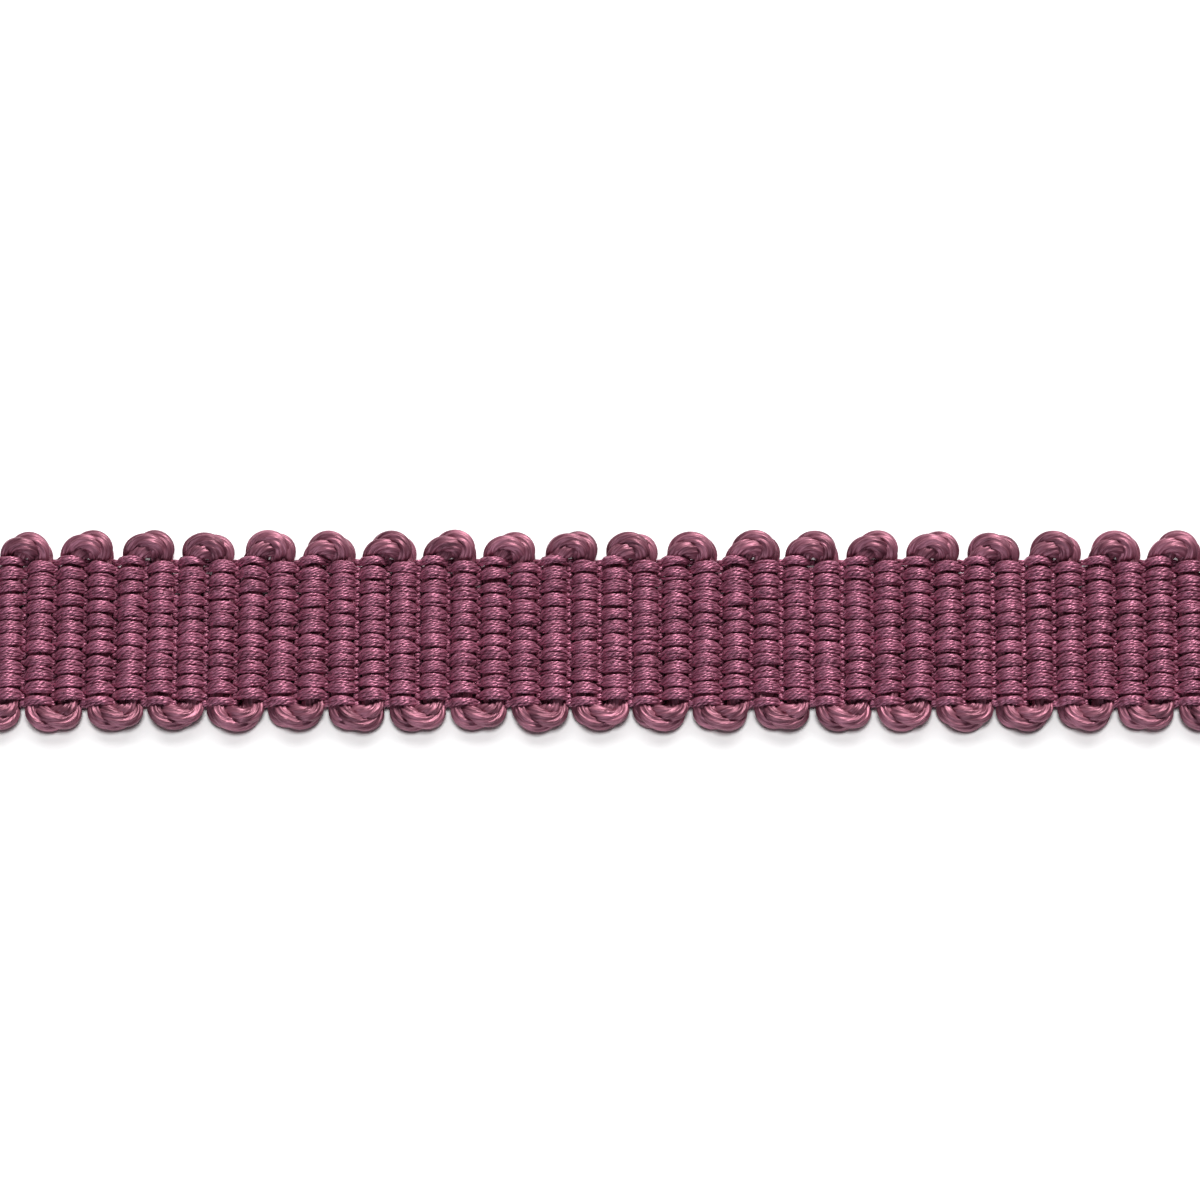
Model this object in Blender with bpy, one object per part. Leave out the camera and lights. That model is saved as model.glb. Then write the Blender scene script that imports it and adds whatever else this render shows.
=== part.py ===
"""Gimp braid trim: a straight, flat length of rib-woven braid with looped edges.

One thick cord of three twisted plies zigzags across the band and turns back in a loop at both edges.  Fine warp
ends run along the band, over one leg of the cord and under the next, and bind the legs as ribs.  The whole braid
is one woven piece.  Units are metres: +X runs along the trim, +Y across it, +Z up, and the underside is on z = 0.
"""
import math

import bmesh
import bpy
from mathutils import Matrix

# Driving dimensions
OVERALL_WIDTH = 0.0127
TOP_LOOP_REACH = 0.0018
BOTTOM_LOOP_REACH = 0.00162
RIB_PITCH = 0.00184
LOOP_COUNT = 22
CROWN_THICKNESS = 0.0020
GROOVE_THICKNESS = 0.0012
FOOT_FLAT = 0.0006
WARP_ENDS = 22
WARP_STUB_REACH = 0.0006
WARP_STUB_THICKNESS = 0.00036
WARP_STUB_FILL = 0.8

# Worked out from the driving dimensions
RIB_COUNT = 2 * LOOP_COUNT
BAND_LENGTH = RIB_COUNT * RIB_PITCH
BAND_WIDTH = OVERALL_WIDTH - TOP_LOOP_REACH - BOTTOM_LOOP_REACH
BAND_MIDDLE = (BOTTOM_LOOP_REACH - TOP_LOOP_REACH) / 2
MID_HEIGHT = CROWN_THICKNESS / 2

# The looped cord on each edge: how far apart its two legs leave the band, how thick it is, how far the loop leans
TOP_HALF_SPAN = 0.00092
TOP_CORD_RADIUS = 0.0007
TOP_LEAN = 0.00017
BOTTOM_HALF_SPAN = 0.00098
BOTTOM_CORD_RADIUS = 0.00079
BOTTOM_LEAN = 0.0
LOOP_UNEVENNESS = 0.00012
LOOP_STEPS = 6
LEG_BURIED = 0.0004
CUT_END_REACH = 0.00092

# The cord's section: three plies, each drawn with one valley point and two crown points
PLIES = 3
POINTS_PER_PLY = 3
VALLEY_RADIUS = 0.72
TURNS_PER_LOOP = 1.0

GIMP_COLOUR = (0.147, 0.045, 0.076, 1.0)
GIMP_ROUGHNESS = 0.55
SHARP_ANGLE = math.radians(40)
STATIONS_PER_RIB = 5
WELD = 0.000001


def clear_scene():
    """Removes every object, so that the script builds the same model in any file."""
    for old in list(bpy.data.objects):
        bpy.data.objects.remove(old, do_unlink=True)


def make_collection(name):
    """Adds a collection to the scene."""
    collection = bpy.data.collections.new(name)
    bpy.context.scene.collection.children.link(collection)
    return collection


def gimp_material():
    """Mauve viscose cord and yarn."""
    material = bpy.data.materials.new("mauve_gimp")
    material.use_nodes = True
    shader = material.node_tree.nodes["Principled BSDF"]
    shader.inputs["Base Color"].default_value = GIMP_COLOUR
    shader.inputs["Roughness"].default_value = GIMP_ROUGHNESS
    shader.inputs["Metallic"].default_value = 0.0
    return material


def unevenness(loop, side):
    """A steady, uneven number from -1 to 1 for one loop, as hand and loom leave them."""
    return math.sin(2.4 * loop + 1.7 * side + 0.8 * math.sin(1.3 * loop))


def rib_centre(rib):
    """The x of a rib, counted from 0 at the left."""
    return (rib + 0.5) * RIB_PITCH - BAND_LENGTH / 2


def edge_y(side):
    """The y of the band's upper edge, side 1, or its lower edge, side -1."""
    return BAND_MIDDLE + side * BAND_WIDTH / 2


def crown_drop(offset):
    """How far a rib's round face lies below its crown, at an offset from the rib's centre."""
    sagitta = (CROWN_THICKNESS - GROOVE_THICKNESS) / 2
    radius = RIB_PITCH ** 2 / (8 * sagitta) + sagitta / 2
    return radius - math.sqrt(radius ** 2 - offset ** 2)


def band_section(station):
    """The x, the underside and the top of the band at one station along it, counted from its left end."""
    half_foot = FOOT_FLAT / 2
    half_pitch = RIB_PITCH / 2
    shoulder = (half_pitch + half_foot) / 2
    offsets = (-half_pitch, -shoulder, -half_foot, half_foot, shoulder)
    rib, step = divmod(station, len(offsets))
    deepest = crown_drop(half_pitch)
    foot_drop = crown_drop(half_foot)
    drop = deepest * (crown_drop(offsets[step]) - foot_drop) / (deepest - foot_drop)
    return rib_centre(rib) + offsets[step], drop, CROWN_THICKNESS - drop


def mesh_from_curve(curve_object, name, collection):
    """Makes a closed mesh object of a twisted cord's curve, welds its caps and removes the curve.

    Each face is split along its shorter diagonal, which follows the cord, so that the plies come out smooth.
    """
    bpy.context.view_layer.update()
    evaluated = curve_object.evaluated_get(bpy.context.evaluated_depsgraph_get())
    mesh = bpy.data.meshes.new_from_object(evaluated)
    shape = bmesh.new()
    shape.from_mesh(mesh)
    bmesh.ops.remove_doubles(shape, verts=shape.verts, dist=WELD)
    bmesh.ops.recalc_face_normals(shape, faces=shape.faces)
    bmesh.ops.triangulate(shape, faces=shape.faces, quad_method="SHORT_EDGE")
    shape.to_mesh(mesh)
    shape.free()
    piece = bpy.data.objects.new(name, mesh)
    piece.matrix_world = curve_object.matrix_world
    collection.objects.link(piece)
    bpy.data.objects.remove(curve_object, do_unlink=True)
    return piece


def make_band(name, collection):
    """The woven band: a flat grid made thick, then ribbed above and below station by station."""
    stations = STATIONS_PER_RIB * RIB_COUNT
    shape = bmesh.new()
    bmesh.ops.create_grid(shape, x_segments=stations, y_segments=1, size=0.5)
    raised = bmesh.ops.extrude_face_region(shape, geom=shape.faces[:])["geom"]
    top = {vertex for vertex in raised if isinstance(vertex, bmesh.types.BMVert)}
    grooves = set()
    for vertex in shape.verts:
        station = round((vertex.co.x + 0.5) * stations)
        x, under, over = band_section(station)
        vertex.co = (x, edge_y(math.copysign(1, vertex.co.y)), over if vertex in top else under)
        if station % STATIONS_PER_RIB == 0:
            grooves.add(vertex)
    uprights = [edge for edge in shape.edges if len(top.intersection(edge.verts)) == 1]
    bmesh.ops.dissolve_edges(shape, edges=[edge for edge in uprights if not grooves.issuperset(edge.verts)])
    bmesh.ops.recalc_face_normals(shape, faces=shape.faces)
    mesh = bpy.data.meshes.new(name)
    shape.to_mesh(mesh)
    shape.free()
    band = bpy.data.objects.new(name, mesh)
    collection.objects.link(band)
    return band


def ply_section(name, collection):
    """The cord's section at unit radius: three round plies with a valley between them."""
    curve = bpy.data.curves.new(name, "CURVE")
    curve.dimensions = "2D"
    spline = curve.splines.new("POLY")
    count = PLIES * POINTS_PER_PLY
    spline.points.add(count - 1)
    for index, point in enumerate(spline.points):
        radius = VALLEY_RADIUS if index % POINTS_PER_PLY == 0 else 1.0
        turn = 2 * math.pi * index / count
        point.co = (radius * math.cos(turn), radius * math.sin(turn), 0.0, 1.0)
    spline.use_cyclic_u = True
    section = bpy.data.objects.new(name, curve)
    collection.objects.link(section)
    return section


def loop_points(centre_x, side, half_span, lean, height):
    """The centre line of one loop: up one leg out of the band, round an arch, and down the other leg."""
    edge = edge_y(side)
    points = [(centre_x - half_span, edge - side * LEG_BURIED)]
    for step in range(LOOP_STEPS + 1):
        turn = math.pi * step / LOOP_STEPS
        x = centre_x - half_span * math.cos(turn) + lean * math.sin(turn)
        points.append((x, edge + side * height * math.sin(turn)))
    points.append((centre_x + half_span, edge - side * LEG_BURIED))
    return points


def add_cord(curve, points, radius, first_tilt):
    """One twisted length of cord along the points, in the middle of the band's thickness."""
    spline = curve.splines.new("POLY")
    spline.points.add(len(points) - 1)
    turn_per_step = 2 * math.pi * TURNS_PER_LOOP / (LOOP_STEPS + 2)
    for index, (point, (x, y)) in enumerate(zip(spline.points, points)):
        point.co = (x, y, MID_HEIGHT, 1.0)
        point.radius = radius
        point.tilt = first_tilt + turn_per_step * index


def make_loops(name, section, collection):
    """Every loop of the cord on both edges, and the cord's two cut ends."""
    curve = bpy.data.curves.new(name, "CURVE")
    curve.dimensions = "3D"
    curve.bevel_mode = "OBJECT"
    curve.bevel_object = section
    curve.use_fill_caps = True
    edges = (
        (1, 0, LOOP_COUNT, TOP_HALF_SPAN, TOP_LOOP_REACH, TOP_CORD_RADIUS, TOP_LEAN),
        (-1, 1, LOOP_COUNT - 1, BOTTOM_HALF_SPAN, BOTTOM_LOOP_REACH, BOTTOM_CORD_RADIUS, BOTTOM_LEAN),
    )
    for side, first_rib, count, half_span, reach, radius, lean in edges:
        for loop in range(count):
            centre_x = rib_centre(2 * loop + first_rib) + RIB_PITCH / 2
            uneven = unevenness(loop, side)
            height = reach - radius - LOOP_UNEVENNESS * (1 - uneven) / 2
            add_cord(curve, loop_points(centre_x, side, half_span, lean, height), radius, uneven)
    for rib in (0, RIB_COUNT - 1):
        x = rib_centre(rib)
        reaches = (-LEG_BURIED, CUT_END_REACH / 2, CUT_END_REACH)
        add_cord(curve, [(x, edge_y(-1) - reach) for reach in reaches], TOP_CORD_RADIUS, 0.0)
    drawn = bpy.data.objects.new(name + "_path", curve)
    collection.objects.link(drawn)
    return mesh_from_curve(drawn, name, collection)


def make_warp_stubs(name, collection):
    """The cut warp ends at both ends of the band, one high and one low by turns, as they leave the last rib."""
    pitch = BAND_WIDTH / WARP_ENDS
    size = (2 * WARP_STUB_REACH, WARP_STUB_FILL * pitch, WARP_STUB_THICKNESS, 1.0)
    lift = GROOVE_THICKNESS / 2 - WARP_STUB_THICKNESS
    shape = bmesh.new()
    for end in (-1, 1):
        for strand in range(WARP_ENDS):
            y = edge_y(1) - (strand + 0.5) * pitch
            z = MID_HEIGHT + (lift if strand % 2 else -lift)
            place = Matrix.Translation((end * BAND_LENGTH / 2, y, z))
            bmesh.ops.create_cube(shape, size=1.0, matrix=place @ Matrix.Diagonal(size))
    mesh = bpy.data.meshes.new(name)
    shape.to_mesh(mesh)
    shape.free()
    stubs = bpy.data.objects.new(name, mesh)
    collection.objects.link(stubs)
    return stubs


def join_to(piece, joined):
    """Joins one shape to a piece with an exact union, and keeps the shape as a hidden guide."""
    joined.hide_render = True
    joined.display_type = "WIRE"
    union = piece.modifiers.new("join_" + joined.name, "BOOLEAN")
    union.operation = "UNION"
    union.solver = "EXACT"
    union.object = joined


def main():
    """Builds the braid."""
    clear_scene()
    parts = make_collection("gimp_braid_trim")
    guides = make_collection("guides")
    braid = make_band("gimp_braid", parts)
    braid.data.materials.clear()
    braid.data.materials.append(gimp_material())
    section = ply_section("cord_section", guides)
    section.hide_render = True
    section.display_type = "WIRE"
    join_to(braid, make_loops("cord_loops", section, guides))
    join_to(braid, make_warp_stubs("warp_stubs", guides))
    braid.data.shade_smooth()
    braid.data.set_sharp_from_angle(angle=SHARP_ANGLE)


main()
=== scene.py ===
# %% [markdown]
# # A length of gimp braid
#
# Gimp braid is a trimming for chairs, lampshades and boxes.  One thick cord of three twisted plies zigzags
# across a narrow band and turns back in a loop at both edges.  Fine yarns, the warp, run along the band and
# bind the cord's legs, over one leg and under the next, so each leg becomes a rib of small beads.
#
# This lesson builds every yarn as a real tube, because the light on such a trim is made by its yarns.  The
# script loads a fixed frame first: a plain solid of the braid in metres, X along it, Y across it and Z up.

# %% Load the frame
import math

import bpy
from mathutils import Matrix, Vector


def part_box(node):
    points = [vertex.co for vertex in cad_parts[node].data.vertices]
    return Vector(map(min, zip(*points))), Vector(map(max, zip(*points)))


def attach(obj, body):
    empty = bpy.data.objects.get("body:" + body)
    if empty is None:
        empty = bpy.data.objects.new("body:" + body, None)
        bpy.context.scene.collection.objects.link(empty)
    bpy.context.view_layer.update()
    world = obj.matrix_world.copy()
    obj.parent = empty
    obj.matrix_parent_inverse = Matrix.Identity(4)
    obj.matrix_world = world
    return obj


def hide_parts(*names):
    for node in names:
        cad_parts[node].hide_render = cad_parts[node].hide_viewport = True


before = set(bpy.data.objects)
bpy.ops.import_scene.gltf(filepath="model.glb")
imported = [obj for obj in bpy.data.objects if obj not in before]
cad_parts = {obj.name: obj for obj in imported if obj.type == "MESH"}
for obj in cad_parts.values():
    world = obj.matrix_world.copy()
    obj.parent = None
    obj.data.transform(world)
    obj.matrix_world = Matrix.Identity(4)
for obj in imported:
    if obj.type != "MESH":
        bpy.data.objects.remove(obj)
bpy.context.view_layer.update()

low, high = (Vector(corner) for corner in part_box("gimp_braid"))
size = high - low
print("the frame's braid is", [round(1000 * side, 2) for side in size], "mm")

# %% [markdown]
# ## The braid's sizes
#
# Almost every size follows from the length and width of the frame's solid and from a few counts: 22 loops on
# the upper edge, two ribs to a loop, and 22 warp ends.  A rib that is "even" carries the left leg of an upper
# loop, and an odd rib the right leg.

# %% Sizes of the weave
LOOP_COUNT = 22
RIB_COUNT = 2 * LOOP_COUNT
WARP_ENDS = 22
CUT_END = 0.0006

UPPER_REACH = 0.0018
LOWER_REACH = 0.00162
ROW_SPREAD = 0.957

band_length = size.x - 2 * CUT_END
rib_pitch = band_length / RIB_COUNT
upper_edge = high.y - UPPER_REACH
lower_edge = low.y + LOWER_REACH
band_middle = (upper_edge + lower_edge) / 2
middle_z = size.z / 2
end_pitch = ROW_SPREAD * (upper_edge - lower_edge) / (WARP_ENDS - 1)


def rib_x(rib):
    """The middle of a rib, counted from 0 at the left."""
    return (rib + 0.5) * rib_pitch - band_length / 2


print(f"ribs {1000 * rib_pitch:.2f} mm apart, warp ends {1000 * end_pitch:.2f} mm apart")

# %% [markdown]
# ## A small helper for node trees
#
# Both Geometry Nodes and materials do arithmetic with Math nodes, which are slow to read in a script.  The
# class below wraps one output socket, so that `a * b + 1` adds the Math nodes by itself.  The tree's own class
# has one method for every other node: its type, then its settings, then the values or links of its sockets.

# %% Fields and trees
class Field:
    """One output of a node, with Python's arithmetic."""

    def __init__(self, tree, socket):
        self.tree = tree
        self.socket = socket

    def math(self, operation, *values):
        return self.tree.math(operation, self, *values)

    def __add__(self, other):
        return self.math("ADD", other)

    __radd__ = __add__

    def __sub__(self, other):
        return self.math("SUBTRACT", other)

    def __rsub__(self, other):
        return self.tree.math("SUBTRACT", other, self)

    def __mul__(self, other):
        return self.math("MULTIPLY", other)

    __rmul__ = __mul__

    def __truediv__(self, other):
        return self.math("DIVIDE", other)

    def __pow__(self, other):
        return self.math("POWER", other)

    def __neg__(self):
        return self.math("MULTIPLY", -1.0)

    def __abs__(self):
        return self.math("ABSOLUTE")


class Tree:
    """A node tree that is filled by expressions."""

    def __init__(self, node_tree):
        self.node_tree = node_tree

    def add(self, kind, settings=None, sockets=None, output=0):
        """Adds a node with its settings, then its socket values or links, and gives one of its outputs."""
        node = self.node_tree.nodes.new(kind)
        for name, value in (settings or {}).items():
            if name == "stops":
                for stop, (place, colour) in zip(self.ramp_stops(node.color_ramp, len(value)), value):
                    stop.position = place
                    stop.color = (*colour, 1.0)
            else:
                setattr(node, name, value)
        for name, value in (sockets or {}).items():
            if isinstance(value, Field):
                self.node_tree.links.new(value.socket, node.inputs[name])
            else:
                node.inputs[name].default_value = value
        return Field(self, node.outputs[output])

    def ramp_stops(self, ramp, count):
        """Gives a colour ramp the number of stops that is asked for."""
        while len(ramp.elements) < count:
            ramp.elements.new(0.5)
        return ramp.elements

    def math(self, operation, *values):
        return self.add("ShaderNodeMath", {"operation": operation}, dict(enumerate(values)))

    def xyz(self, x, y, z):
        """Joins three numbers to a vector."""
        return self.add("ShaderNodeCombineXYZ", None, {0: x, 1: y, 2: z})

    def part(self, vector, axis):
        """One number of a vector."""
        return self.add("ShaderNodeSeparateXYZ", None, {0: vector}, "XYZ".index(axis))

    def vector(self, operation, *values):
        return self.add("ShaderNodeVectorMath", {"operation": operation}, dict(enumerate(values)))

    def scaled(self, vector, factor):
        """A vector times a number."""
        return self.add("ShaderNodeVectorMath", {"operation": "SCALE"}, {0: vector, "Scale": factor})

    def noise(self, vector, scale, detail=1.0):
        """Soft noise about 0.5."""
        return self.add("ShaderNodeTexNoise", None, {"Vector": vector, "Scale": scale, "Detail": detail})


class GeometryTree(Tree):
    """A Geometry Nodes tree with named inputs."""

    def __init__(self, name, inputs):
        super().__init__(bpy.data.node_groups.new(name, "GeometryNodeTree"))
        interface = self.node_tree.interface
        interface.new_socket("Geometry", in_out="OUTPUT", socket_type="NodeSocketGeometry")
        interface.new_socket("Geometry", in_out="INPUT", socket_type="NodeSocketGeometry")
        for label, kind in inputs:
            interface.new_socket(label, in_out="INPUT", socket_type=kind)
        group = self.node_tree.nodes.new("NodeGroupInput")
        self.given = {socket.name: Field(self, socket) for socket in group.outputs}

    def named(self, name, kind="FLOAT"):
        """Reads an attribute of the geometry."""
        return self.add("GeometryNodeInputNamedAttribute", {"data_type": kind}, {"Name": name})

    def store(self, geometry, name, value, domain="POINT", kind="FLOAT"):
        """Writes an attribute on the geometry."""
        settings = {"domain": domain, "data_type": kind}
        return self.add("GeometryNodeStoreNamedAttribute", settings,
                        {"Geometry": geometry, "Name": name, "Value": value})

    def finish(self, geometry):
        """Ends the tree with real geometry and its material."""
        real = self.add("GeometryNodeRealizeInstances", None, {"Geometry": geometry})
        smooth = self.add("GeometryNodeSetShadeSmooth", None, {"Geometry": real})
        finished = self.add("GeometryNodeSetMaterial", None,
                            {"Geometry": smooth, "Material": self.given["Material"]})
        output = self.node_tree.nodes.new("NodeGroupOutput")
        self.node_tree.links.new(finished.socket, output.inputs[0])
        return self.node_tree


FLOAT, COUNT, MATERIAL = "NodeSocketFloat", "NodeSocketInt", "NodeSocketMaterial"


def grow(name, source, node_tree, values):
    """Runs a Geometry Nodes tree on source data and gives the result as a plain mesh object."""
    seed = bpy.data.objects.new(name + "_seed", source)
    bpy.context.scene.collection.objects.link(seed)
    modifier = seed.modifiers.new("grow", "NODES")
    modifier.node_group = node_tree
    for item in node_tree.interface.items_tree:
        if item.in_out == "INPUT" and item.name in values:
            modifier[item.identifier] = values[item.name]
    bpy.context.view_layer.update()
    evaluated = seed.evaluated_get(bpy.context.evaluated_depsgraph_get())
    mesh = bpy.data.meshes.new_from_object(evaluated)
    mesh.name = name
    bpy.data.objects.remove(seed, do_unlink=True)
    piece = bpy.data.objects.new(name, mesh)
    bpy.context.scene.collection.objects.link(piece)
    triangles = sum(len(face.vertices) - 2 for face in mesh.polygons)
    print(f"{name}: {triangles} triangles")
    return piece


# %% [markdown]
# ## Mauve viscose
#
# Gimp yarn is viscose: long, shiny filaments that lie side by side.  Its gloss runs across the filaments, and
# the colour deepens to wine red between the yarns, where light bounces from yarn to yarn before it comes out.
# A noise stretched along each yarn gives the filaments.  It reads three attributes that the trees below store:
# `along`, the place along the yarn in metres, `ring`, the place round it, which has no seam, and `strand`, a
# number that sets one yarn apart from the next.  Turning `ring` as `along` grows twists the streaks, and on the
# warp a crease turns with them, as between the two plies of a fine yarn.  The crease is a bump and also a
# painted shade: the colour is darker along it.

# %% The yarn's material
STREAK_GRAIN = 700.0
PATCH_GRAIN = 1900.0
PATCH_FINENESS = 0.9
BUMP_HEIGHT = 0.00005
STREAK_SHARE, PATCH_SHARE, PAINTED_CREASE_SHADE_SHARE, STRAND_SHARE = 0.5, 0.4, 0.3, 0.16
SMOOTHEST, PATCH_ROUGHNESS = 0.34, 0.22
DEEP_STOP, LIGHT_STOP = 0.3, 0.68


def yarn_material(name, light, deep, lustre, filament_bump, twist_length, fineness, crease_depth_and_shade):
    """Glossy dyed filament yarn whose streaks follow the yarn."""
    material = bpy.data.materials.new(name)
    material.use_nodes = True
    tree = Tree(material.node_tree)
    shader = material.node_tree.nodes["Principled BSDF"]
    shader.inputs["IOR"].default_value = 1.5
    shader.inputs["Metallic"].default_value = lustre
    shader.inputs["Specular IOR Level"].default_value = 0.8
    shader.inputs["Sheen Weight"].default_value = 0.05
    shader.inputs["Sheen Roughness"].default_value = 0.4
    shader.inputs["Sheen Tint"].default_value = (0.95, 0.75, 0.88, 1.0)
    along = tree.add("ShaderNodeAttribute", {"attribute_name": "along"}, None, "Fac")
    strand = tree.add("ShaderNodeAttribute", {"attribute_name": "strand"}, None, "Fac")
    ring = tree.add("ShaderNodeAttribute", {"attribute_name": "ring"}, None, "Vector")
    turn = along * (math.tau / twist_length) + strand * 20.0
    turned_x = tree.part(ring, "X") * turn.math("COSINE") - tree.part(ring, "Y") * turn.math("SINE")
    turned_y = tree.part(ring, "X") * turn.math("SINE") + tree.part(ring, "Y") * turn.math("COSINE")
    # The crease is a bump and a painted shade: where the two plies meet, the colour is made darker.
    twisted_crease_relief_and_shade = abs(turned_y) * crease_depth_and_shade
    streak_place = tree.xyz(along * STREAK_GRAIN + strand * 37.0, turned_x * fineness, turned_y * fineness)
    patch_place = tree.xyz(along * PATCH_GRAIN + strand * 91.0, turned_x * PATCH_FINENESS,
                           turned_y * PATCH_FINENESS)
    streaks = tree.noise(streak_place, 1.0, 3.0)
    patches = tree.noise(patch_place, 1.0, 2.0)
    # Painted shade: the crease term lowers the tone, so the colour darkens along the crease.
    tone = streaks * STREAK_SHARE + patches * PATCH_SHARE + twisted_crease_relief_and_shade * PAINTED_CREASE_SHADE_SHARE
    tone = tone + strand * STRAND_SHARE - 0.12 * crease_depth_and_shade
    stops = [(DEEP_STOP, deep), (LIGHT_STOP, light)]
    colour = tree.add("ShaderNodeValToRGB", {"stops": stops}, {"Fac": tone})
    material.node_tree.links.new(colour.socket, shader.inputs["Base Color"])
    roughness = SMOOTHEST + patches * PATCH_ROUGHNESS
    material.node_tree.links.new(roughness.socket, shader.inputs["Roughness"])
    relief = streaks * (1.0 - crease_depth_and_shade * 0.5) + twisted_crease_relief_and_shade
    bump = tree.add("ShaderNodeBump", None, {
        "Strength": filament_bump, "Distance": BUMP_HEIGHT, "Height": relief})
    material.node_tree.links.new(bump.socket, shader.inputs["Normal"])
    print(f"{name}: one turn in {1000 * twist_length:.2f} mm")
    return material


cord_finish = yarn_material(
    "cord_viscose", light=(0.46, 0.165, 0.240), deep=(0.09, 0.014, 0.032), lustre=0.5, filament_bump=0.9,
    twist_length=0.009, fineness=6.0, crease_depth_and_shade=0.0)
warp_finish = yarn_material(
    "warp_viscose", light=(0.50, 0.168, 0.272), deep=(0.09, 0.013, 0.033), lustre=0.5, filament_bump=0.9,
    twist_length=0.00075, fineness=1.8, crease_depth_and_shade=1.0)

# %% [markdown]
# ## The cord
#
# The cord's route is a curve: up one rib, round an upper loop, down the next rib and round a lower loop, all
# along the band.  Inside the band the warp hides it, so its points are far apart there and close at the loops.

# %% The cord's route
UPPER = {"side": 1, "edge": upper_edge, "reach": UPPER_REACH, "half_span": 0.00087, "radius": 0.00078,
         "lean": 0.00017, "lift": 0.00042}
LOWER = {"side": -1, "edge": lower_edge, "reach": LOWER_REACH, "half_span": 0.00100, "radius": 0.00075,
         "lean": 0.0, "lift": 0.0}
LEG_RADIUS = 0.00068
OUTER_SHARE = 1.14
EDGE_DIP = 0.00012
LOOP_UNEVENNESS = 0.00012
LOOP_SQUARENESS = 0.8
LOOP_STEPS = 30
LEG_STEPS = 14
END_DROP = 0.00092


def unevenness(loop, side):
    """A steady, uneven number from -1 to 1 for one loop, as hand and loom leave them."""
    return math.sin(2.4 * loop + 1.7 * side + 0.8 * math.sin(1.3 * loop))


def loop_route(loop, edge):
    """The points of one loop beyond the band's edge, from its left leg to its right one."""
    side = edge["side"]
    centre = rib_x(2 * loop + (0 if edge is UPPER else 1)) + rib_pitch / 2
    uneven = unevenness(loop, side)
    height = edge["reach"] - OUTER_SHARE * edge["radius"] - LOOP_UNEVENNESS * (1 - uneven) / 2
    points = []
    for step in range(LOOP_STEPS + 1):
        turn = math.pi * step / LOOP_STEPS
        arch = math.sin(turn) ** LOOP_SQUARENESS
        x = centre - edge["half_span"] * math.cos(turn) + edge["lean"] * (1 + 0.6 * uneven) * arch
        radius = LEG_RADIUS + (edge["radius"] - LEG_RADIUS) * min(1.0, 1.5 * arch)
        z = middle_z - EDGE_DIP + (edge["lift"] + EDGE_DIP) * arch
        points.append((x, edge["edge"] + side * height * arch, z, radius))
    return points


def leg_route(rib):
    """The points of one leg inside the band, from its lower end to its upper one."""
    points = []
    for step in range(1, LEG_STEPS):
        share = step / LEG_STEPS
        y = lower_edge + (upper_edge - lower_edge) * share
        dip = EDGE_DIP * max(0.0, abs(2 * share - 1) - 0.7) / 0.3
        points.append((rib_x(rib), y, middle_z - dip, LEG_RADIUS))
    return points


def cord_route():
    """Every point of the cord, from its cut end at the lower left to the one at the lower right."""
    ends = [[(rib_x(rib), lower_edge - drop, middle_z, LEG_RADIUS) for drop in (END_DROP, 0.0)]
            for rib in (0, RIB_COUNT - 1)]
    route = ends[0]
    for loop in range(LOOP_COUNT):
        route = route + leg_route(2 * loop) + loop_route(loop, UPPER) + leg_route(2 * loop + 1)[::-1]
        if loop < LOOP_COUNT - 1:
            route = route + loop_route(loop, LOWER)
    return route + ends[1][::-1]


def route_curve(name, route):
    """A poly curve through the route, with its radius at each point."""
    curve = bpy.data.curves.new(name, "CURVE")
    curve.dimensions = "3D"
    spline = curve.splines.new("POLY")
    spline.points.add(len(route) - 1)
    for point, (x, y, z, radius) in zip(spline.points, route):
        point.co = (x, y, z, 1.0)
        point.radius = radius
    return curve


route = cord_route()
route_length = sum((Vector(a[:3]) - Vector(b[:3])).length for a, b in zip(route, route[1:]))
print(f"the cord's route has {len(route)} points and is {1000 * route_length:.0f} mm long")

# %% [markdown]
# ## Three plies
#
# Each ply winds round the route with the twist that makes its slant run like the middle stroke of a Z.  A tree
# moves every point of the route sideways, round the curve's normal and the direction across both, and sweeps a
# fluted section along it.  The flutes are the ply's own yarns, which turn the other way round.  The plies press
# flat where the warp binds them and swell in the loops, so the depth of the whole cord changes across the band.

# %% Grow the plies
ply_tree = GeometryTree("three_ply_cord", [
    ("Ply", FLOAT), ("Turn Length", FLOAT), ("Helix Share", FLOAT), ("Ply Share", FLOAT), ("Flutes", FLOAT),
    ("Flute Depth", FLOAT), ("Section Points", COUNT), ("Band Middle", FLOAT), ("Band Half", FLOAT),
    ("Middle Height", FLOAT), ("Band Flatness", FLOAT), ("Wander", FLOAT), ("Material", MATERIAL)])
SWELL = 0.0005
COUNTER_TWIST = 0.6
given = ply_tree.given
length = ply_tree.add("GeometryNodeSplineParameter", None, None, "Length")
cord_radius = ply_tree.add("GeometryNodeInputRadius")
here = ply_tree.add("GeometryNodeInputPosition")
route_noise = ply_tree.noise(ply_tree.xyz(length * 420.0, given["Ply"] * 13.0, 0.0), 1.0, 1.0)
angle = (length / given["Turn Length"] + given["Ply"] / 3.0 + (route_noise - 0.5) * 0.12) * math.tau
normal = ply_tree.add("GeometryNodeInputNormal")
tangent = ply_tree.add("GeometryNodeInputTangent")
across = ply_tree.vector("CROSS_PRODUCT", tangent, normal)
swing = ply_tree.vector("ADD", ply_tree.scaled(normal, angle.math("COSINE")),
                        ply_tree.scaled(across, angle.math("SINE")))
helix_radius = cord_radius * given["Helix Share"] * (0.85 + route_noise * 0.3)
drift = ply_tree.add("ShaderNodeTexNoise", None, {
    "Vector": ply_tree.xyz(length * 650.0, given["Ply"] * 29.0, 5.0), "Scale": 1.0, "Detail": 1.0}, "Color")
wander = ply_tree.scaled(ply_tree.vector("SUBTRACT", drift, (0.5, 0.5, 0.5)), given["Wander"])
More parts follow.
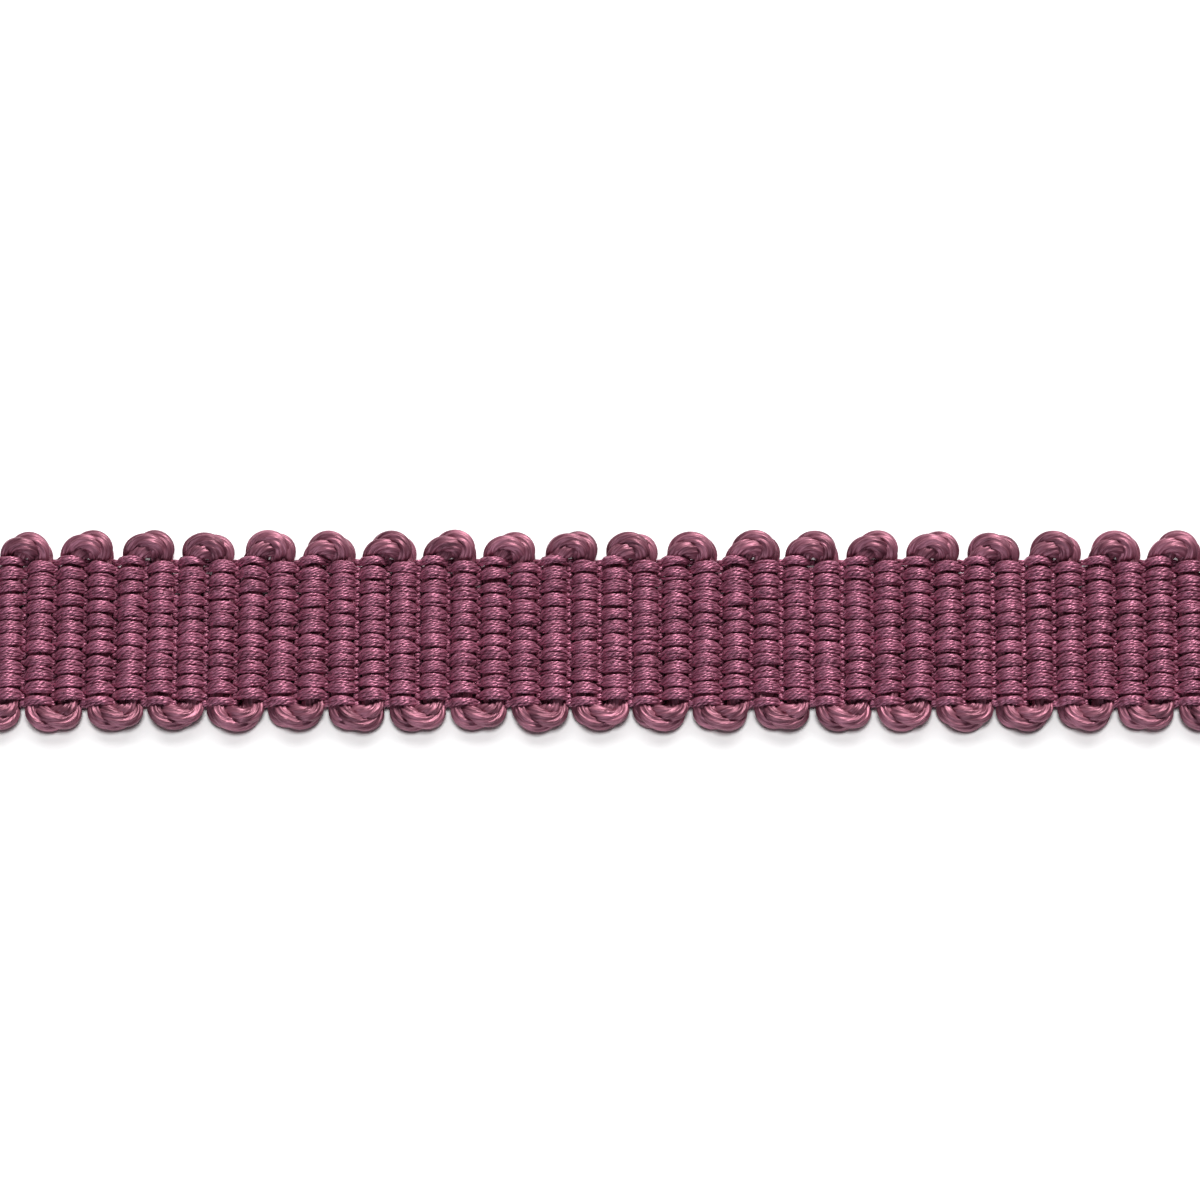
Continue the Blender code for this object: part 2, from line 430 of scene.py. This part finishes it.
shift = ply_tree.vector("ADD", ply_tree.scaled(swing, helix_radius), wander)
flat_route = ply_tree.add("GeometryNodeSetCurveNormal", {"mode": "Z_UP"}, {"Curve": given["Geometry"]})
kept = ply_tree.store(flat_route, "along", length)
ply_size = cord_radius * given["Ply Share"] * (0.88 + ply_tree.noise(
    ply_tree.xyz(length * 700.0, given["Ply"] * 7.0, 9.0), 1.0, 1.0) * 0.24)
kept = ply_tree.store(kept, "ply_size", ply_size)
wound = ply_tree.add("GeometryNodeSetPosition", None, {"Geometry": kept, "Offset": shift})
wound = ply_tree.add("GeometryNodeSetCurveNormal", {"mode": "MINIMUM_TWIST"}, {"Curve": wound})
wound = ply_tree.add("GeometryNodeSetCurveTilt", None, {
    "Curve": wound, "Tilt": ply_tree.named("along") / given["Turn Length"] * -math.tau * COUNTER_TWIST})
wound = ply_tree.add("GeometryNodeSetCurveRadius", None, {"Curve": wound, "Radius": ply_tree.named("ply_size")})
circle = ply_tree.add("GeometryNodeCurvePrimitiveCircle", None, {
    "Resolution": given["Section Points"], "Radius": 1.0})
circle = ply_tree.store(circle, "ring", ply_tree.add("GeometryNodeInputPosition"), kind="FLOAT_VECTOR")
section_factor = ply_tree.add("GeometryNodeSplineParameter", None, None, "Factor")
flute = (section_factor * given["Flutes"] * math.tau).math("COSINE") * given["Flute Depth"] + 1.0
broad_flute = (section_factor * given["Flutes"] * math.tau * 0.25 + given["Ply"]).math("SINE")
flute = flute + broad_flute * given["Flute Depth"] * 0.5
section = ply_tree.add("GeometryNodeSetPosition", None, {
    "Geometry": circle, "Position": ply_tree.scaled(ply_tree.add("GeometryNodeInputPosition"), flute)})
swept = ply_tree.add("GeometryNodeCurveToMesh", None, {
    "Curve": wound, "Profile Curve": section, "Fill Caps": True,
    "Scale": ply_tree.add("GeometryNodeInputRadius")})
x, y, z = (ply_tree.part(here, axis) for axis in "XYZ")
inside = ply_tree.add("ShaderNodeMapRange", {"interpolation_type": "SMOOTHSTEP"}, {
    "Value": abs(y - given["Band Middle"]), "From Min": given["Band Half"] - SWELL,
    "From Max": given["Band Half"] + SWELL, "To Min": given["Band Flatness"], "To Max": 1.0})
pressed_z = given["Middle Height"] + (z - given["Middle Height"]) * inside
pressed = ply_tree.add("GeometryNodeSetPosition", None, {
    "Geometry": swept, "Position": ply_tree.xyz(x, y, pressed_z)})
pressed = ply_tree.store(pressed, "strand", given["Ply"] / 3.0)
ply_tree.finish(pressed)

TURN_LENGTH = 0.0046
PLIES = 3
plies = []
for ply in range(PLIES):
    plies.append(grow(f"cord_ply_{ply + 1}", route_curve("route", route), ply_tree.node_tree, {
        "Ply": float(ply), "Turn Length": TURN_LENGTH, "Helix Share": 0.48, "Ply Share": 0.57, "Flutes": 8.0,
        "Flute Depth": 0.12, "Section Points": 36, "Band Middle": band_middle,
        "Band Half": (upper_edge - lower_edge) / 2, "Middle Height": middle_z,
        "Band Flatness": 0.80, "Wander": 0.00016, "Material": cord_finish}))

# %% [markdown]
# ## The warp
#
# A warp end is a small bundle of yarns that lies flat side by side on a rib and squeezes together where it
# dives between two ribs.  Its height follows a cosine with one rise and one fall to two ribs, and ends with an
# even number rise where those with an odd number fall.  A slot between two ribs keeps their beads apart: there
# the bundle is narrow and level.  Each bundle also rolls a little, so no two beads catch the light alike.  The
# tree makes one straight line for each yarn, bends it by these rules and sweeps a small circle along it.  The
# ends are grown as four sets, every fourth end to a set, which keeps each mesh small.

# %% Grow the warp
warp_tree = GeometryTree("woven_warp", [
    ("First End", FLOAT), ("End Step", FLOAT), ("End Count", COUNT), ("Yarns", COUNT), ("Rib Pitch", FLOAT),
    ("Rib Count", COUNT), ("Groove Detail", FLOAT), ("Roundness", FLOAT), ("Slot", FLOAT),
    ("Steps Per Rib", COUNT), ("All Ends", COUNT), ("End Pitch", FLOAT), ("Band Middle", FLOAT),
    ("Middle Height", FLOAT), ("Rise", FLOAT), ("Edge Ease", FLOAT),
    ("Bead Width", FLOAT), ("Groove Width", FLOAT), ("Crown Round", FLOAT), ("Yarn Radius", FLOAT),
    ("Cut End", FLOAT), ("Wander", FLOAT), ("Roll", FLOAT), ("Section Points", COUNT),
    ("Material", MATERIAL)])
given = warp_tree.given
half_length = given["Rib Pitch"] * given["Rib Count"] * 0.5
reach = half_length + given["Cut End"]
line = warp_tree.add("GeometryNodeCurvePrimitiveLine", None, {
    "Start": warp_tree.xyz(-reach, 0.0, 0.0), "End": warp_tree.xyz(reach, 0.0, 0.0)})
line = warp_tree.add("GeometryNodeResampleCurve", None, {
    "Curve": line, "Count": given["Rib Count"] * given["Steps Per Rib"] + 1.0})
places = warp_tree.add("GeometryNodeMeshLine", {"mode": "OFFSET"}, {
    "Count": given["End Count"] * given["Yarns"], "Offset": (0.0, 0.0, 0.0)})
copies = warp_tree.add("GeometryNodeInstanceOnPoints", None, {"Points": places, "Instance": line})
copies = warp_tree.store(copies, "yarn", warp_tree.add("GeometryNodeInputIndex"), domain="INSTANCE")
yarns = warp_tree.add("GeometryNodeRealizeInstances", None, {"Geometry": copies})
yarn = warp_tree.named("yarn")
slot = (yarn / given["End Count"]).math("FLOOR")
end = given["First End"] + (yarn - slot * given["End Count"]) * given["End Step"]
place = (slot + 0.5) / given["Yarns"] * 2.0 - 1.0
x = warp_tree.part(warp_tree.add("GeometryNodeInputPosition"), "X")
even_share = (x + half_length) / given["Rib Pitch"]
ribs_along = even_share - (even_share * math.tau).math("SINE") * given["Groove Detail"] / math.tau
x = ribs_along * given["Rib Pitch"] - half_length
wave = ((ribs_along - 0.5) * math.pi).math("COSINE") * (end * math.pi).math("COSINE")
clear_of_slot = warp_tree.add("ShaderNodeMapRange", None, {
    "Value": abs(wave), "From Min": given["Slot"], "From Max": 1.0, "To Min": 0.0, "To Max": 1.0})
bead = clear_of_slot ** given["Roundness"]
over = bead * wave.math("SIGN")
bead_noise = warp_tree.noise(warp_tree.xyz(ribs_along * 0.9, end * 3.7, 0.0), 1.0, 1.0) - 0.5
yarn_noise = warp_tree.noise(warp_tree.xyz(ribs_along * 1.3, end * 5.1 + 40.0, slot * 7.3), 1.0, 1.0) - 0.5
lift_noise = warp_tree.noise(warp_tree.xyz(ribs_along * 1.5, end * 2.9 + 80.0, slot * 9.1), 1.0, 1.0) - 0.5
width = given["Groove Width"] + (given["Bead Width"] - given["Groove Width"]) * clear_of_slot ** 0.3
from_middle = (given["All Ends"] - 1.0) * 0.5 - end
edge_end = warp_tree.add("ShaderNodeMapRange", {"interpolation_type": "SMOOTHSTEP"}, {
    "Value": abs(from_middle), "From Min": given["All Ends"] * 0.5 - 2.2,
    "From Max": given["All Ends"] * 0.5 - 0.5})
width = width * (1.0 - edge_end * given["Edge Ease"] * bead)
roll = bead_noise * given["Roll"]
y = given["Band Middle"] + from_middle * given["End Pitch"] + place * roll.math("COSINE") * width * 0.5
y = y + bead_noise * given["Wander"] + yarn_noise * given["Wander"] * 1.6
rounding = place * place * given["Crown Round"]
drop = rounding + edge_end * given["Crown Round"] * 0.6
z = given["Middle Height"] + over * (given["Rise"] - drop) + lift_noise * given["Wander"] * 0.7
z = z + place * roll.math("SINE") * width * 0.22
stack = (slot - (slot / 2.0).math("FLOOR") * 2.0 - 0.5) * given["Yarn Radius"]
z = z + stack * (1.0 - bead)
yarns = warp_tree.store(yarns, "along", x)
yarns = warp_tree.store(yarns, "strand", warp_tree.add("FunctionNodeRandomValue", {"data_type": "FLOAT"}, {
    "ID": yarn, "Seed": 7}, 1))
woven = warp_tree.add("GeometryNodeSetPosition", None, {"Geometry": yarns, "Position": warp_tree.xyz(x, y, z)})
yarn_size = given["Yarn Radius"] * (0.9 + lift_noise * 0.4)
woven = warp_tree.add("GeometryNodeSetCurveRadius", None, {"Curve": woven, "Radius": yarn_size})
circle = warp_tree.add("GeometryNodeCurvePrimitiveCircle", None, {
    "Resolution": given["Section Points"], "Radius": 1.0})
circle = warp_tree.store(circle, "ring", warp_tree.add("GeometryNodeInputPosition"), kind="FLOAT_VECTOR")
swept = warp_tree.add("GeometryNodeCurveToMesh", None, {
    "Curve": woven, "Profile Curve": circle, "Fill Caps": True,
    "Scale": warp_tree.add("GeometryNodeInputRadius")})
warp_tree.finish(swept)

WARP_SETS = 4
warp_sets = []
for first_end in range(WARP_SETS):
    end_count = len(range(first_end, WARP_ENDS, WARP_SETS))
    no_points = bpy.data.meshes.new("no_points")
    warp_sets.append(grow(f"warp_set_{first_end + 1}", no_points, warp_tree.node_tree, {
        "First End": float(first_end), "End Step": float(WARP_SETS), "End Count": end_count, "Yarns": 5,
        "Rib Pitch": rib_pitch, "Rib Count": RIB_COUNT, "Groove Detail": 0.3, "Roundness": 0.5, "Slot": 0.27,
        "Steps Per Rib": 10, "All Ends": WARP_ENDS, "End Pitch": end_pitch, "Band Middle": band_middle,
        "Middle Height": middle_z, "Rise": 0.00088, "Edge Ease": 0.45, "Bead Width": 0.00076,
        "Groove Width": 0.00030, "Crown Round": 0.00015, "Yarn Radius": 0.000115, "Cut End": CUT_END,
        "Wander": 0.00018, "Roll": 3.0, "Section Points": 5, "Material": warp_finish}))

# %% [markdown]
# ## Hand the pieces to the frame
#
# Every piece stands for the one solid of the frame, moves with its body and takes its finish from one slot.

# %% Hand over
for piece in plies + warp_sets:
    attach(piece, "root")
    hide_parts("gimp_braid")
print(f"{len(plies + warp_sets)} pieces handed over")

# %% [markdown]
# ## The table
#
# The trim lies on a plain white sheet, a flat square that is far larger than the view.

# %% Floor
FLOOR_REACH = 3.0
PAPER_WHITE = (0.9, 0.9, 0.9, 1.0)
floor_mesh = bpy.data.meshes.new("white_sheet")
corners = [(x * FLOOR_REACH, y * FLOOR_REACH, 0) for x, y in ((-1, -1), (1, -1), (1, 1), (-1, 1))]
floor_mesh.from_pydata(corners, [], [(0, 1, 2, 3)])
floor = bpy.data.objects.new("white_sheet", floor_mesh)
bpy.context.scene.collection.objects.link(floor)
paper = bpy.data.materials.new("white_paper")
paper.use_nodes = True
paper.node_tree.nodes["Principled BSDF"].inputs["Base Color"].default_value = PAPER_WHITE
paper.node_tree.nodes["Principled BSDF"].inputs["Roughness"].default_value = 0.9
floor_mesh.materials.append(paper)
print(f"the sheet is {2 * FLOOR_REACH:.0f} m square")

# %% [markdown]
# ## The light
#
# A soft lamp behind the trim, to the right, is the key, and a weaker, cooler one in front fills its shadows.
# They light the trim alone.  The sheet has two lamps of its own, one behind and one overhead, so the shadow in
# front of the trim stays faint.  Light linking keeps the two groups apart: a lamp lights only its collection.

# %% Light
LAMP_DISTANCE = 0.8
WARM_WHITE = (1.0, 0.97, 0.95)
COOL_WHITE = (0.90, 0.93, 1.0)
PLAIN_WHITE = (1.0, 1.0, 1.0)

world = bpy.data.worlds.new("soft_room")
world.use_nodes = True
world.node_tree.nodes["Background"].inputs["Color"].default_value = (0.93, 0.95, 1.0, 1.0)
world.node_tree.nodes["Background"].inputs["Strength"].default_value = 0.08
bpy.context.scene.world = world

trim_only = bpy.data.collections.new("trim_only")
sheet_only = bpy.data.collections.new("sheet_only")
for piece in plies + warp_sets:
    trim_only.objects.link(piece)
sheet_only.objects.link(floor)


def lamp(name, direction, width, power, colour, lights):
    """A square soft lamp that points at the trim from a direction and lights one group of things."""
    light = bpy.data.lights.new(name, "AREA")
    light.size = width
    light.energy = power
    light.color = colour
    holder = bpy.data.objects.new(name, light)
    place = Vector(direction).normalized() * LAMP_DISTANCE
    holder.location = place
    holder.rotation_euler = place.to_track_quat("Z", "Y").to_euler()
    holder.light_linking.receiver_collection = lights
    bpy.context.scene.collection.objects.link(holder)
    print(f"{name}: {power} W, {width} m wide")


lamp("key_lamp", (0.26, 0.66, 0.70), width=0.25, power=8.2, colour=WARM_WHITE, lights=trim_only)
lamp("front_lamp", (-0.30, -0.85, 0.50), width=0.45, power=2.6, colour=COOL_WHITE, lights=trim_only)
lamp("sheet_back_lamp", (0.0, 0.85, 0.60), width=1.00, power=12.0, colour=PLAIN_WHITE, lights=sheet_only)
lamp("sheet_top_lamp", (0.0, 0.0, 1.0), width=0.20, power=4.9, colour=PLAIN_WHITE, lights=sheet_only)

# %% [markdown]
# ## The camera
#
# A long lens looks down on the trim, 15 degrees from the upright on its lower side, so the beads show a little
# of their front.  Its distance follows from the rib pitch, which sets how many metres a picture holds.

# %% Camera
FRAME_PIXELS = 1200
RIB_PITCH_PIXELS = 30.28
TRIM_MIDDLE_PIXEL = 631.5
VIEW_TILT = math.radians(15)
LENS = 200.0
SENSOR = 36.0

frame_width = FRAME_PIXELS / RIB_PITCH_PIXELS * rib_pitch
distance = frame_width * LENS / SENSOR
pixel = frame_width / FRAME_PIXELS
camera_data = bpy.data.cameras.new("camera")
camera_data.lens = LENS
camera_data.sensor_width = SENSOR
camera = bpy.data.objects.new("camera", camera_data)
bpy.context.scene.collection.objects.link(camera)
camera.rotation_euler = (VIEW_TILT, 0.0, 0.0)
looks_along = camera.rotation_euler.to_matrix() @ Vector((0.0, 0.0, -1.0))
image_up = camera.rotation_euler.to_matrix() @ Vector((0.0, 1.0, 0.0))
target = Vector((0.0, 0.0, middle_z)) + image_up * (TRIM_MIDDLE_PIXEL - FRAME_PIXELS / 2) * pixel
camera.location = target - looks_along * distance
bpy.context.scene.camera = camera
bpy.context.scene.view_settings.view_transform = "Standard"
print(f"the picture is {1000 * frame_width:.1f} mm wide, seen from {distance:.2f} m")
